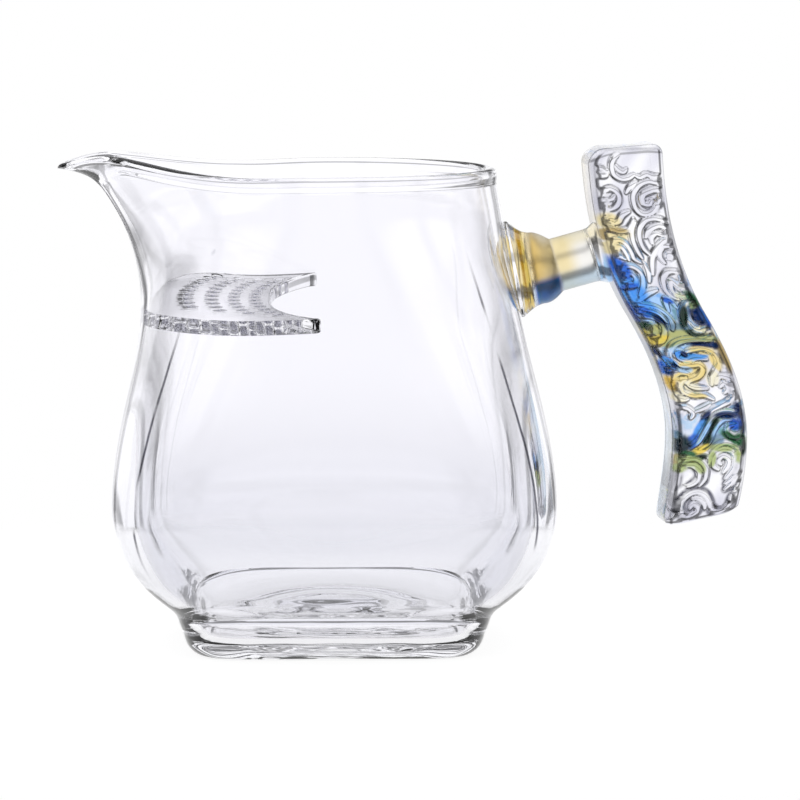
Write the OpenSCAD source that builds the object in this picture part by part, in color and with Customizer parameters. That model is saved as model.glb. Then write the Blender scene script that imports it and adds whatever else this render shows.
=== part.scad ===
// Glass tea pitcher: a blown body on a square foot, with a spout drawn out of its round mouth,
// a pierced crescent strainer fused inside, and a cast bar handle fused to a drawn-out boss.
// The base stands on z = 0 with its centre at the origin. The spout points to -X, the handle to +X.

/* [Body] */
// Height of the rim above the table
height = 93; // [84:1:104]
// Width across the flats at the belly
belly_w = 86; // [80:0.5:92]
// Height of the widest part of the belly
belly_z = 29.5; // [27:0.5:33]
// Width across the flats at the shoulder
shoulder_w = 75.4; // [72:0.5:80]
// Height at which the shoulder width is measured
shoulder_z = 60; // [56:0.5:64]
// Width just under the rim
neck_w = 65.4; // [62:0.5:69]
// Distance from the rim down to that width
neck_drop = 7; // [5:0.5:9]
// Outer diameter of the round mouth
mouth_d = 63.4; // [60:0.5:67]
// Squareness of the belly and foot, where 2 is round
squareness = 6.2; // [4:0.2:8]
// Thickness of the blown wall
wall = 2.2; // [1.8:0.1:2.6]
// Height of the rounded bead along the rim
rim_r = 1.1; // [0.9:0.05:1.4]

/* [Foot] */
// Width of the foot on the table
foot_w = 56.2; // [52:0.5:59]
// Width of the foot where the bowl begins
foot_top_w = 62; // [60:0.5:66]
// Height of the foot
foot_h = 8.5; // [7:0.25:10]
// Radius of the foot's lower edge
foot_r = 2.5; // [1.5:0.25:3]
// Thickness of the glass floor
floor_t = 3.2; // [2.6:0.1:4.5]
// Radius between the floor and the wall inside
floor_r = 3; // [2:0.25:4]

/* [Spout] */
// How far the broad flare stands out past the mouth
flare_reach = 10.5; // [8:0.5:13]
// Half angle of the broad flare
flare_angle = 42; // [36:1:48]
// How far the throat stands out past the flare
throat_reach = 5.9; // [4:0.1:8]
// Half angle of the throat
throat_angle = 15; // [12:0.5:18]
// How far the pouring lip stands out past the throat
lip_reach = 5.4; // [3:0.1:7]
// Half angle of the pouring lip
lip_angle = 8; // [6:0.5:10]
// Height at which the flare starts
flare_z = 50; // [44:1:56]
// Rise of the rim at the spout
spout_rise = 3.4; // [2:0.1:4.5]
// How far the tip of the lip dips below that rise
lip_dip = 2.4; // [1:0.1:3.5]

/* [Strainer] */
// Thickness of the strainer plate
plate_t = 2.7; // [2.2:0.1:3.4]
// Drop from the rim to the plate's top at the middle of its open edge
plate_drop = 25.5; // [23:0.5:29]
// Distance from the body's axis to the middle of the open edge
plate_edge_x = 12.3; // [8:0.5:16]
// Radius of the hollow open edge
plate_edge_r = 58; // [50:1:70]
// Rise of the plate away from the spout, in degrees
plate_pitch = 2.8; // [0:0.2:4]
// Rise of the plate towards the back, in degrees
plate_roll = 2.7; // [0:0.1:4]
// Diameter of a strainer hole
hole_d = 2; // [1.6:0.1:2.4]
// Spacing of the holes along a row
hole_pitch = 4.4; // [4:0.1:4.6]
// Number of bent rows of holes
hole_rows = 4; // [2:1:4]
// Number of holes in the row nearest the open edge
holes_in_row = 13; // [9:1:13]

/* [Boss] */
// How far the weld between boss and neck stands off the body's wall
weld_reach = 8.6; // [8:0.1:9.4]
// Drop from the rim to the weld
weld_drop = 19.2; // [16:0.2:23]
// Radius of the boss at the weld
weld_r = 5.3; // [5.3:0.05:5.7]
// Radius of the barrel
barrel_r = 7.1; // [6.6:0.1:7.6]
// Radius of the flange that is fused to the body
flange_r = 9.5; // [9:0.1:10]
// Tilt of the flange, in degrees
flange_tilt = 10.5; // [8:0.5:13]
// Distance from the weld to the middle of the flange
boss_l = 7.9; // [7.4:0.1:8.4]
// Drop from the weld to the middle of the flange
boss_drop = 0.8; // [0.4:0.1:1.4]

/* [Handle] */
// Width of the bar, seen from the front
bar_w = 14.7; // [13:0.25:16]
// Thickness of the bar from front to back
bar_t = 14; // [12:0.25:15]
// Height of the bar's top above the rim
bar_rise = 4.2; // [1:0.2:8]
// Distance from the weld to the bar's middle at its top
bar_top_reach = 12.8; // [11.4:0.2:15.4]
// Height at which the bar leans most
bar_lean_z = 64; // [62:0.5:67]
// Distance from the weld to the bar's middle there
bar_lean_reach = 21.7; // [19.4:0.2:23.4]
// Height at which the bar stands out most
bar_out_z = 40; // [37:0.5:43]
// Distance from the weld to the bar's middle where it stands out most
bar_out_reach = 29.7; // [26.4:0.2:32.4]
// Height of the bar's bottom
bar_low_z = 24.3; // [22:0.5:28]
// Distance from the weld to the bar's middle at its bottom
bar_low_reach = 27.8; // [25.4:0.2:29.4]
// Radius of the bar's long edges
bar_r = 3; // [2:0.1:3.6]
// Radius of the edges at the bar's ends
end_r = 1.8; // [1.2:0.1:2.4]
// Turn of the bar about its own length, in degrees
bar_turn = 5; // [0:0.5:6]
// Radius of the neck between the bar and the weld
neck_r = 5.25; // [4.8:0.05:5.25]
// Tilt of the neck, in degrees
neck_tilt = 15.5; // [13:0.5:18]
// Height of the raised scrolls above the bar's face
scroll_h = 0.6; // [0.3:0.05:0.8]
// Half width of a scroll's ridge
scroll_w = 0.8; // [0.6:0.05:0.9]

/* [Hidden] */
$fn = 48;

// Points round the body, and the crowding of those points towards the spout
around = 72;
crowding = 1.3;
angles = [for (i = [0 : around - 1])
    let (s = 2 * i / around - 1) 180 + sign(s) * 180 * pow(abs(s), crowding)];

bead_z = height - rim_r;
flare_power = 2.9;
lip_power = 50;
square_from_z = 26;
square_to_z = 86;
square_fade = 1.3;
bowl_slope = 1.4;
shoulder_slope = -0.216;
neck_slope = -0.192;
rim_slope = -0.02;
corner_blend = 0.9;
steepest = 2.6;

function clamp01(t) = max(0, min(1, t));
function bell(x, w) = exp(-pow(x / w, 2));

// Cubic curve between two stations of [level, value, slope]
function hermite(z, a, b) =
    let (d = b[0] - a[0], t = (z - a[0]) / d)
    (2 * t * t * t - 3 * t * t + 1) * a[1] + (t * t * t - 2 * t * t + t) * d * a[2]
    + (3 * t * t - 2 * t * t * t) * b[1] + (t * t * t - t * t) * d * b[2];

stations = [
    [foot_h, foot_top_w / 2, bowl_slope],
    [belly_z, belly_w / 2, 0],
    [shoulder_z, shoulder_w / 2, shoulder_slope],
    [height - neck_drop, neck_w / 2, neck_slope],
    [height, mouth_d / 2, rim_slope]];

function bowl_half(z) =
    z < stations[0][0] ? stations[0][1] + bowl_slope * (z - stations[0][0])
    : z < stations[1][0] ? hermite(z, stations[0], stations[1])
    : z < stations[2][0] ? hermite(z, stations[1], stations[2])
    : z < stations[3][0] ? hermite(z, stations[2], stations[3])
    : hermite(z, stations[3], stations[4]);
function foot_half(z) = (foot_w + (foot_top_w - foot_w) * z / foot_h) / 2;
function half_width(z) =
    let (a = foot_half(z), b = bowl_half(z))
    z > belly_z ? b : (a + b + sqrt(pow(a - b, 2) + corner_blend * corner_blend)) / 2;

// Inset of a rounded edge of radius r, at height h above the edge
function edge_inset(h, r) = h < r ? r - sqrt(max(0, r * r - pow(r - h, 2))) : 0;

function power_at(z) =
    let (t = clamp01((z - square_from_z) / (square_to_z - square_from_z)))
    2 + (squareness - 2) * pow(1 - t, square_fade);
function section(z, th) =
    let (n = power_at(z))
    half_width(z) / pow(pow(abs(cos(th)), n) + pow(abs(sin(th)), n), 1 / n);
function spout(z, th) =
    let (d = abs(180 - th), t = clamp01((z - flare_z) / (bead_z - flare_z)))
    pow(t, flare_power) * (flare_reach * bell(d, flare_angle) + throat_reach * bell(d, throat_angle))
    + pow(t, lip_power) * lip_reach * bell(d, lip_angle);
function skin_r(z, th) = section(z, th) + spout(z, th);

// Radial distance that gives the wall its thickness where the surface slopes
function wall_at(z, th) =
    let (
        step = 0.1,
        r = skin_r(z, th),
        up = (skin_r(min(z + step, bead_z), th) - skin_r(z - step, th)) / (2 * step),
        side = (skin_r(z, th + step) - skin_r(z, th - step)) / (2 * step * PI / 180) / r)
    wall * min(steepest, sqrt(1 + up * up + side * side));

// The rim rises towards the spout and sags a little on both sides of it
rise_angle = 29;
sag = 0.4;
sag_from = 58;
sag_angle = 18;
function lift(z, th) =
    let (
        d = abs(180 - th),
        t = clamp01((z - shoulder_z) / (bead_z - shoulder_z)),
        rise = spout_rise * bell(d, rise_angle) - lip_dip * bell(d, lip_angle))
    pow(t, 3) * (rise - sag * bell(d - sag_from, sag_angle));

function at(r, th, z) = [r * cos(th), r * sin(th), z];
function outer_at(z, th) = at(skin_r(z, th) - edge_inset(z, foot_r), th, z + lift(z, th));
function inner_at(z, th) =
    at(skin_r(z, th) - wall_at(z, th) - edge_inset(z - floor_t, floor_r), th, z + lift(z, th));
function bead_at(a, th) =
    let (
        ro = skin_r(bead_z, th),
        ri = ro - wall_at(bead_z, th))
    at((ro + ri) / 2 + (ro - ri) / 2 * cos(a), th, bead_z + lift(bead_z, th) + rim_r * sin(a));

// Levels of the rings, closer together at the edges, at the foot and at the rim
edge_step = 22.5;
wall_steps = 16;
rim_zone = 3;
wall_from = foot_h + 2.5;
wall_to = bead_z - rim_zone;
wall_levels = [for (i = [0 : wall_steps]) wall_from + (wall_to - wall_from) * i / wall_steps];
rim_levels = [for (q = [0.8 : -0.2 : 0]) bead_z - rim_zone * q * q];
outer_levels = concat(
    [for (a = [0 : edge_step : 90]) foot_r * (1 - cos(a))],
    [for (f = [0.55, 0.8, 1, 1.12]) foot_h * f],
    wall_levels, rim_levels);
inner_levels = concat(
    [for (a = [0 : edge_step : 90]) floor_t + floor_r * (1 - cos(a))],
    [for (f = [0.9, 1.05]) foot_h * f],
    wall_levels, rim_levels);

// Triangles between ring i and ring i + 1 of n points, and a fan that closes a ring.
// A band is split along one diagonal or the other, so that two nodes can share a surface.
function band(i, n, other) = [for (j = [0 : n - 1])
    let (k = (j + 1) % n, a = i * n + j, b = i * n + k, c = a + n, d = b + n)
    each other ? [[a, c, b], [b, c, d]] : [[a, d, b], [a, c, d]]];
function fan(i, n, tip, up) = [for (j = [0 : n - 1]) let (k = (j + 1) % n)
    up ? [i * n + k, i * n + j, tip] : [i * n + j, i * n + k, tip]];

module rings(list, low, high, other = false) {
    n = len(list[0]);
    m = len(list);
    polyhedron(
        points = concat([for (ring = list) each ring], [low, high]),
        faces = concat(
            [for (i = [0 : m - 2]) each band(i, n, other)],
            fan(0, n, m * n, false),
            fan(m - 1, n, m * n + 1, true)),
        convexity = 8);
}

bead_step = 30;
module body() {
    inner_down = [for (i = [len(inner_levels) - 1 : -1 : 0]) inner_levels[i]];
    color([0.93, 0.95, 0.97, 0.4])
    rings(
        concat(
            [for (z = outer_levels) [for (th = angles) outer_at(z, th)]],
            [for (a = [bead_step : bead_step : 180 - bead_step]) [for (th = angles) bead_at(a, th)]],
            [for (z = inner_down) [for (th = angles) inner_at(z, th)]]),
        [0, 0, 0], [0, 0, floor_t]);
}

// Solid slices of the body: its whole outside near the boss, and the hollow near the strainer
boss_slice = 15;
plate_slice = 10;
module outside_near(level) {
    levels = [for (z = outer_levels) if (abs(z - level) < boss_slice) z];
    rings([for (z = levels) [for (th = angles) outer_at(z, th)]],
        [0, 0, levels[0]], [0, 0, levels[len(levels) - 1]]);
}
module hollow_near(level) {
    levels = [for (z = inner_levels) if (abs(z - level) < plate_slice) z];
    rings([for (z = levels) [for (th = angles) inner_at(z, th)]],
        [0, 0, levels[0]], [0, 0, levels[len(levels) - 1]], other = true);
}

plate_z = height - plate_drop;

// Rows of holes: distance from the open edge to the first, from row to row, and their bend
first_row = 3.5;
row_gap = 4.4;
row_bend_r = 66;
// How far the plate's two horns reach past the middle of the open edge
horn_l = 9.5;

// Row k has one hole less than the row before it, all of them left out at the front
module hole_row(k) {
    step = hole_pitch / row_bend_r * 180 / PI;
    for (i = [k : holes_in_row - 1])
        let (a = (i - (holes_in_row - 1) / 2) * step)
        translate([-first_row - k * row_gap + row_bend_r * (1 - cos(a)), row_bend_r * sin(a)])
        circle(d = hole_d, $fn = 24);
}

module plate_outline() {
    back = belly_w / 2;
    difference() {
        translate([-back, -back]) square([back + horn_l, 2 * back]);
        translate([plate_edge_r, 0]) circle(plate_edge_r, $fn = 180);
    }
}

module strainer() {
    color([0.9, 0.92, 0.95, 0.6])
    intersection() {
        hollow_near(plate_z);
        translate([-plate_edge_x, 0, plate_z]) rotate([plate_roll, -plate_pitch, 0])
        translate([0, 0, -plate_t]) linear_extrude(plate_t) difference() {
            plate_outline();
            for (k = [0 : hole_rows - 1]) hole_row(k);
        }
    }
}

// The weld hangs on the body's own wall, so the boss and the handle follow the body
weld_z = height - weld_drop;
weld_x = skin_r(weld_z, 0) + weld_reach;

// The boss from the weld (t = 0) to the flange (t = 1); past that it runs on into the body
shoulder_t = 0.45;
function boss_r(t) =
    weld_r + (barrel_r - weld_r) * sin(90 * clamp01(t / shoulder_t))
    + (flange_r - barrel_r) * (1 - cos(90 * clamp01((t - shoulder_t) / (1 - shoulder_t))));
function boss_at(t, a) =
    let (
        r = boss_r(t),
        tilt = neck_tilt + (flange_tilt - neck_tilt) * t,
        drop = boss_drop * (1 - pow(1 - min(t, 1), 2)))
    [weld_x - boss_l * t - r * sin(a) * sin(tilt), r * cos(a), weld_z - drop + r * sin(a) * cos(tilt)];

boss_steps = 12;
buried_t = 1.5;
module boss() {
    steps = concat([for (i = [0 : boss_steps]) i / boss_steps], [buried_t]);
    color([0.95, 0.85, 0.6, 0.7])
    difference() {
        rings([for (t = steps) [for (i = [0 : $fn - 1]) boss_at(t, -i * 360 / $fn)]],
            [weld_x, 0, weld_z], [weld_x - boss_l * buried_t, 0, weld_z - boss_drop]);
        outside_near(weld_z);
    }
}

// Middle of the bar, as [level, distance from the body's axis, slope]
low_lean = 0.18;
middle_lean = -0.6;
top_lean = -0.05;
bar_top_z = height + bar_rise;
bar_stations = [
    [bar_low_z, weld_x + bar_low_reach, low_lean],
    [bar_out_z, weld_x + bar_out_reach, 0],
    [bar_lean_z, weld_x + bar_lean_reach, middle_lean],
    [bar_top_z, weld_x + bar_top_reach, top_lean]];
function bar_x(z) =
    z < bar_out_z ? hermite(z, bar_stations[0], bar_stations[1])
    : z < bar_lean_z ? hermite(z, bar_stations[1], bar_stations[2])
    : hermite(z, bar_stations[2], bar_stations[3]);

// Slant of the bar's ends, which fades out within slant_fade
low_slant = 0.22;
top_slant = 0.08;
slant_fade = 10;
function slant(z) =
    low_slant * pow(clamp01(1 - (z - bar_low_z) / slant_fade), 2)
    + top_slant * pow(clamp01(1 - (bar_top_z - z) / slant_fade), 2);

// The cloud scrolls on the bar's front, each a ridge that winds round a centre:
// [offset from the bar's middle, drop from its top, first radius, last radius, first angle, sweep]
scrolls = [
    [-5.2, 5.0, 1.2, 0.4, 200, -400], [-1.2, 4.5, 2.8, 2.6, 105, 230], [-1.2, 4.5, 1.4, 0.9, 190, 160],
    [2.9, 10.4, 3.6, 0.7, 250, -560], [-3.8, 10.0, 2.5, 1.9, 165, -250], [-3.8, 10.0, 1.1, 0.9, 80, -170],
    [2.0, 17.9, 3.5, 0.8, 255, -520], [5.0, 24.0, 3.3, 3.3, 105, 100], [-4.2, 20.2, 2.4, 0.7, 215, -420],
    [-4.0, 26.4, 2.8, 0.7, 150, -420], [3.4, 27.4, 2.5, 0.7, 80, 420], [4.0, 33.4, 2.7, 0.7, 110, 420],
    [-3.6, 35.1, 2.6, 0.7, 150, -420], [-0.6, 40.9, 2.4, 0.6, 75, 420], [1.4, 46.4, 7.6, 7.6, 108, -50],
    [0.4, 44.2, 1.6, 1.4, 110, -230], [-3.8, 46.5, 2.2, 0.6, 200, -430], [4.4, 47.3, 2.4, 0.7, 150, -400],
    [0.2, 46.4, 6.2, 6.2, 335, -75], [-2.4, 46.0, 4.4, 4.4, 215, 95], [4.2, 54.6, 2.3, 0.6, 320, 430],
    [5.0, 62.0, 8.9, 8.9, 105, 62], [5.0, 62.0, 7.0, 7.0, 112, 55], [2.6, 62.0, 2.8, 0.5, 205, -620],
    [-2.8, 64.3, 2.6, 0.9, 140, -330], [-1.6, 70.3, 2.6, 0.5, 170, -600], [3.6, 69.6, 2.2, 1.1, 20, -260]];

// A ridge is rounded across, and rises from the face within stroke_fade degrees of its ends
stroke_fade = 30;
function ridge(d) = pow(max(0, 1 - d * d / (scroll_w * scroll_w)), 2);
function wound(r, turn, s) =
    let (sweep = abs(s[5]))
    turn > sweep ? 0 : max(
        ridge(r - s[2] - (s[3] - s[2]) * turn / sweep) * clamp01(min(turn, sweep - turn) / stroke_fade),
        wound(r, turn + 360, s));
function scroll_at(x, z, s) =
    let (
        level = bar_top_z - s[1],
        dx = x - bar_x(level) - s[0],
        dz = z - level,
        r = norm([dx, dz]))
    r > s[2] + scroll_w ? 0
    : let (turn = (atan2(dz, dx) - s[4]) * sign(s[5])) wound(r, turn - 360 * floor(turn / 360), s);
function relief(x, z) = scroll_h * max([for (s = scrolls) scroll_at(x, z, s)]);

// Outline of the bar's section as [x, y, how much it faces the front]: back, left side, front and
// right side, each with its number of steps
face_steps = [4, 2, 24, 2];
corner_step = 45;
function bar_outline() =
    let (w = bar_w / 2 - bar_r, t = bar_t / 2 - bar_r)
    [for (q = [0 : 3])
        let (
            sx = (q == 0 || q == 3) ? 1 : -1,
            sy = q < 2 ? 1 : -1,
            flat = face_steps[q],
            next = q % 2 == 0 ? [-sx, sy] : [sx, -sy],
            out = q % 2 == 0 ? [0, sy] : [sx, 0])
        each concat(
            [for (a = [0 : corner_step : 90])
                let (b = q * 90 + a)
                [sx * w + bar_r * cos(b), sy * t + bar_r * sin(b), pow(max(0, -sin(b)), 4)]],
            [for (i = [1 : flat - 1])
                let (f = i / flat)
                [sx * w + (next[0] - sx) * w * f + out[0] * bar_r,
                 sy * t + (next[1] - sy) * t * f + out[1] * bar_r, max(0, -out[1])]])];

function bar_at(p, z) =
    let (
        end = min(z - bar_low_z, bar_top_z - z),
        inset = edge_inset(end, end_r),
        x = p[0] * (1 - 2 * inset / bar_w),
        y = p[1] * (1 - 2 * inset / bar_t),
        flat = clamp01((bar_w / 2 - abs(x)) / bar_r) * clamp01(end / end_r),
        out = y - (p[2] == 0 ? 0 : p[2] * flat * relief(bar_x(z) + x, z)))
    [bar_x(z) + x * cos(bar_turn) - out * sin(bar_turn), x * sin(bar_turn) + out * cos(bar_turn),
     z + x * slant(z)];

bar_steps = 136;
module bar() {
    outline = bar_outline();
    ends = [for (a = [0 : 30 : 90]) end_r * (1 - cos(a))];
    length = bar_top_z - bar_low_z - 2 * end_r;
    levels = concat(
        [for (e = ends) bar_low_z + e],
        [for (i = [1 : bar_steps - 1]) bar_low_z + end_r + length * i / bar_steps],
        [for (i = [len(ends) - 1 : -1 : 0]) bar_top_z - ends[i]]);
    rings([for (z = levels) [for (p = outline) bar_at(p, z)]],
        [bar_x(bar_low_z), 0, bar_low_z], [bar_x(bar_top_z), 0, bar_top_z]);
}

module handle() {
    neck_l = (bar_x(weld_z) - weld_x) / cos(neck_tilt);
    color([0.55, 0.7, 0.9, 0.7])
    union() {
        bar();
        translate([weld_x, 0, weld_z]) rotate([0, 90 - neck_tilt, 0]) cylinder(h = neck_l, r = neck_r);
    }
}

body();
strainer();
boss();
handle();
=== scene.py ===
"""Glass tea pitcher: a blown vessel with a fused strainer and boss, and a cast bar handle with scrolls."""
import math
import bmesh
import bpy
import numpy as np
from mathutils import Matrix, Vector


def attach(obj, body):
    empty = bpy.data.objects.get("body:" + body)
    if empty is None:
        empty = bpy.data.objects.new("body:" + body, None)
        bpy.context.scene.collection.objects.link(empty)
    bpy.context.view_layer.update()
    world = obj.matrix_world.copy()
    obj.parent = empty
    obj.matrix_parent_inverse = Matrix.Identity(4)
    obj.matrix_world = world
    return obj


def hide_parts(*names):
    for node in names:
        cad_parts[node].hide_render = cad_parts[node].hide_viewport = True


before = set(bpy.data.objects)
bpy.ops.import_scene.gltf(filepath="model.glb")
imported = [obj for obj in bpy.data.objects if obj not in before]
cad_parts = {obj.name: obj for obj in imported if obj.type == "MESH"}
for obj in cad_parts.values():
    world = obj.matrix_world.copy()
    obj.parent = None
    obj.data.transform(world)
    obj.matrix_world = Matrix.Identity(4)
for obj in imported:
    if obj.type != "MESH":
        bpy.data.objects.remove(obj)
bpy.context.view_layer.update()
scene = bpy.context.scene

# Camera. A long lens, a little above the rim and turned 1.5 degrees towards the spout,
# which is where the rim's ellipse, the foot and both outlines of the photograph put it.
view_turn = math.radians(1.5)
view_distance, view_height = 1.144, 0.16695
aim_side, aim_height = 0.013144, 0.047371
camera_data = bpy.data.cameras.new("camera")
camera_data.sensor_width = 36
camera_data.lens = 264.45
camera_data.clip_end = 30
camera = bpy.data.objects.new("camera", camera_data)
scene.collection.objects.link(camera)
aim = Vector((aim_side * math.cos(view_turn), -aim_side * math.sin(view_turn), aim_height))
camera.location = Vector((aim.x - view_distance * math.sin(view_turn),
                          aim.y - view_distance * math.cos(view_turn), view_height))
camera.rotation_euler = (aim - camera.location).to_track_quat("-Z", "Y").to_euler()
scene.camera = camera
scene.view_settings.view_transform = "Standard"


# Studio. Eight tall soft boxes with grey gaps between them stand round a small white table, under a
# dark valance and an overhead light, so that clear glass shows its outlines in grey on white from
# every side. The camera itself sees plain white.
class Field:
    """A shader socket that can be used in ordinary sums, so that a material reads as an expression."""

    def __init__(self, tree, socket=None):
        self.tree, self.socket = tree, socket

    def node(self, kind, inputs, output=0, **settings):
        """Add a node: first its settings, then the values or links of its sockets."""
        made = self.tree.nodes.new(kind)
        for name, value in settings.items():
            setattr(made, name, value)
        for key, value in inputs.items():
            if isinstance(value, Field):
                value.feed(made.inputs[key])
            else:
                made.inputs[key].default_value = value
        return Field(self.tree, made.outputs[output])

    def feed(self, socket):
        self.tree.links.new(self.socket, socket)

    def math(self, operation, *others):
        inputs = {i: value for i, value in enumerate((self,) + others)}
        return self.node("ShaderNodeMath", inputs, operation=operation)

    def __add__(self, other):
        return self.math("ADD", other)

    def __radd__(self, other):
        return self.math("ADD", other)

    def __sub__(self, other):
        return self.math("SUBTRACT", other)

    def __rsub__(self, other):
        return (self * -1) + other

    def __mul__(self, other):
        return self.math("MULTIPLY", other)

    def __rmul__(self, other):
        return self.math("MULTIPLY", other)

    def __truediv__(self, other):
        return self.math("DIVIDE", other)

    def step(self, low, high):
        """Goes smoothly from 0 to 1 as this value goes from low to high."""
        return self.node("ShaderNodeMapRange", {0: self, 1: low, 2: high, 3: 0.0, 4: 1.0},
                         interpolation_type="SMOOTHSTEP")

    def mix(self, low, high, **settings):
        """Colour that goes from low to high as this value goes from 0 to 1."""
        return self.node("ShaderNodeMix", {0: self, 6: low, 7: high}, output=2, data_type="RGBA", **settings)

    def parts(self):
        """The three numbers of a vector."""
        split = self.node("ShaderNodeSeparateXYZ", {0: self}).socket.node
        return [Field(self.tree, output) for output in split.outputs]


box_count, box_light, box_blue, gap_light = 8, 1.1, 1.02, 0.2
valance_dark, skirt_dark, overhead_light = 0.78, 0.5, 0.9
world = bpy.data.worlds.new("studio")
scene.world = world
world.use_nodes = True
start = Field(world.node_tree)
east, north, up = start.node("ShaderNodeTexCoord", {}, output="Generated").parts()
down = up * -1
turn = north.math("ARCTAN2", east) + view_turn
ring = (turn * box_count).math("COSINE").step(-0.99, -0.6) * (1 - gap_light) + gap_light
valance = up.step(0.14, 0.20) * (1 - up.step(0.36, 0.46))
skirt = down.step(0.16, 0.20) * (1 - down.step(0.28, 0.34))
ring = ring * (1 - valance * valance_dark) * (1 - skirt * skirt_dark)
overhead = up.step(0.45, 0.6).math("MAXIMUM", down.step(0.30, 0.55)) * overhead_light
glow = ring.math("MAXIMUM", overhead).mix((0, 0, 0, 1), (box_light, box_light, box_light * box_blue, 1))
seen = start.node("ShaderNodeLightPath", {}, output="Is Camera Ray")
seen.mix(glow, (1, 1, 1, 1)).feed(world.node_tree.nodes["Background"].inputs["Color"])


def new_material(name):
    """A new material, its shader, and a field from which its nodes start."""
    material = bpy.data.materials.new(name)
    material.use_nodes = True
    return material, material.node_tree.nodes["Principled BSDF"], Field(material.node_tree)


table_radius = 0.22
bpy.ops.mesh.primitive_circle_add(vertices=128, radius=table_radius, fill_type="TRIFAN")
table = bpy.context.object
table.name = "table"
table.location.z = -0.0001
paper, shader, start = new_material("table_paper")
for socket, value in {"Base Color": (0.25, 0.25, 0.25, 1), "Roughness": 1.0, "Specular IOR Level": 0.0,
                      "Emission Color": (1, 1, 1, 1), "Emission Strength": 0.93}.items():
    shader.inputs[socket].default_value = value
place = start.node("ShaderNodeTexCoord", {}, output="Object")
away = place.node("ShaderNodeVectorMath", {0: place}, output=1, operation="LENGTH")
(1 - away.step(0.10, 0.20)).feed(shader.inputs["Alpha"])
table.data.materials.append(paper)


# Vessel: one blown wall of clear glass, square in the foot and belly, round at the mouth, drawn out to a
# spout, and heavier towards the foot and at its four corners. It is made as rings of points, outside, over
# the bead of the rim and down the inside to the floor. Sizes are in millimetres and angles in degrees.
MM = 0.001
height, rim_r, bead_roll = 93.0, 1.1, 0.2
bead_z = height - rim_r
belly_z, foot_h, foot_w, foot_top_w, foot_blend = 29.5, 8.5, 56.2, 62.0, 0.9
foot_r, floor_t, floor_r = 2.5, 3.2, 3.0
square, square_z, round_run = 6.2, 26, 60
flare_z, shoulder_z = 50.0, 60.0
bowl = [(foot_h, foot_top_w / 2, 1.4), (belly_z, 43.0, 0.0), (shoulder_z, 37.7, -0.216),
        (86.0, 32.7, -0.192), (height, 31.7, -0.02)]
wall, low_wall, corner_wall, spout_thinning, most_slope = 2.2, 3.1, 0.9, 0.25, 1.7
floor_wave, foot_wave, inner_wave = 0.25, 0.10, 0.28

# the spout swells out of the wall in bells of (reach, width), the last of them only at the lip
throat, tongue, tip, swell_power, tip_power = (10.5, 42), (5.9, 15), (5.4, 8), 2.9, 50
spout_rise, tip_dip, side_dip, side_dip_at = (3.4, 29), (2.4, 7), (0.4, 18), 58


def hermite(z, a, b):
    d = b[0] - a[0]
    t = (z - a[0]) / d
    return ((2 * t**3 - 3 * t**2 + 1) * a[1] + (t**3 - 2 * t**2 + t) * d * a[2]
            + (3 * t**2 - 2 * t**3) * b[1] + (t**3 - t**2) * d * b[2])


def curve_through(z, stations):
    """Smooth curve through stations of (level, value, slope)."""
    out = stations[0][1] + stations[0][2] * (z - stations[0][0])
    for a, b in zip(stations, stations[1:]):
        out = np.where(z >= a[0], hermite(z, a, b), out)
    return out


def bell(x, width):
    return np.exp(-(x / width) ** 2)


def smooth(x, low, high):
    t = np.clip((x - low) / (high - low), 0, 1)
    return t * t * (3 - 2 * t)


def half_width(z):
    a = (foot_w + (foot_top_w - foot_w) * z / foot_h) / 2
    b = curve_through(z, bowl)
    return np.where(z > belly_z, b, (a + b + np.sqrt((a - b) ** 2 + foot_blend**2)) / 2)


def skin(z, th):
    """Distance of the outer surface from the axis at level z and angle th, measured from the handle."""
    n = 2 + (square - 2) * (1 - np.clip((z - square_z) / round_run, 0, 1)) ** 1.3
    c, s = np.abs(np.cos(np.radians(th))), np.abs(np.sin(np.radians(th)))
    r = half_width(z) / (c**n + s**n) ** (1 / n)
    d, t = np.abs(180 - th), np.clip((z - flare_z) / (bead_z - flare_z), 0, 1)
    swell = throat[0] * bell(d, throat[1]) + tongue[0] * bell(d, tongue[1])
    return r + t**swell_power * swell + t**tip_power * tip[0] * bell(d, tip[1])


def lift(z, th):
    """How far the wall is raised towards the rim: up round the spout, down at its tip and beside it."""
    d, t = np.abs(180 - th), np.clip((z - shoulder_z) / (bead_z - shoulder_z), 0, 1)
    return t**3 * (spout_rise[0] * bell(d, spout_rise[1]) - tip_dip[0] * bell(d, tip_dip[1])
                   - side_dip[0] * bell(d - side_dip_at, side_dip[1]))


def wall_at(z, th):
    """Thickness of the wall, measured level, so a wall that slopes is thicker."""
    step = 0.1
    up = (skin(np.minimum(z + step, bead_z), th) - skin(z - step, th)) / (2 * step)
    side = (skin(z, th + step) - skin(z, th - step)) / (2 * math.radians(step)) / skin(z, th)
    even = wall + (low_wall - wall) * (1 - smooth(z, 16, 62))
    corner = corner_wall * bell((th % 90) - 45, 16) * smooth(z, 12, 30) * (1 - smooth(z, 62, 80))
    lip = 1 - spout_thinning * bell(180 - th, 40) * smooth(z, 66, 91)
    return (even + corner) * lip * np.minimum(most_slope, np.sqrt(1 + up**2 + side**2))


def edge_inset(h, r):
    """How far a rounded edge of radius r stands in at height h above its face."""
    return np.where(h < r, r - np.sqrt(np.maximum(0, r * r - (r - np.minimum(h, r)) ** 2)), 0)


def polar(r, th, z):
    return np.stack([r * np.cos(np.radians(th)), r * np.sin(np.radians(th)), z + 0 * th], -1)


def place_mesh(name, mesh):
    thing = bpy.data.objects.new(name, mesh)
    scene.collection.objects.link(thing)
    return thing


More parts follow.
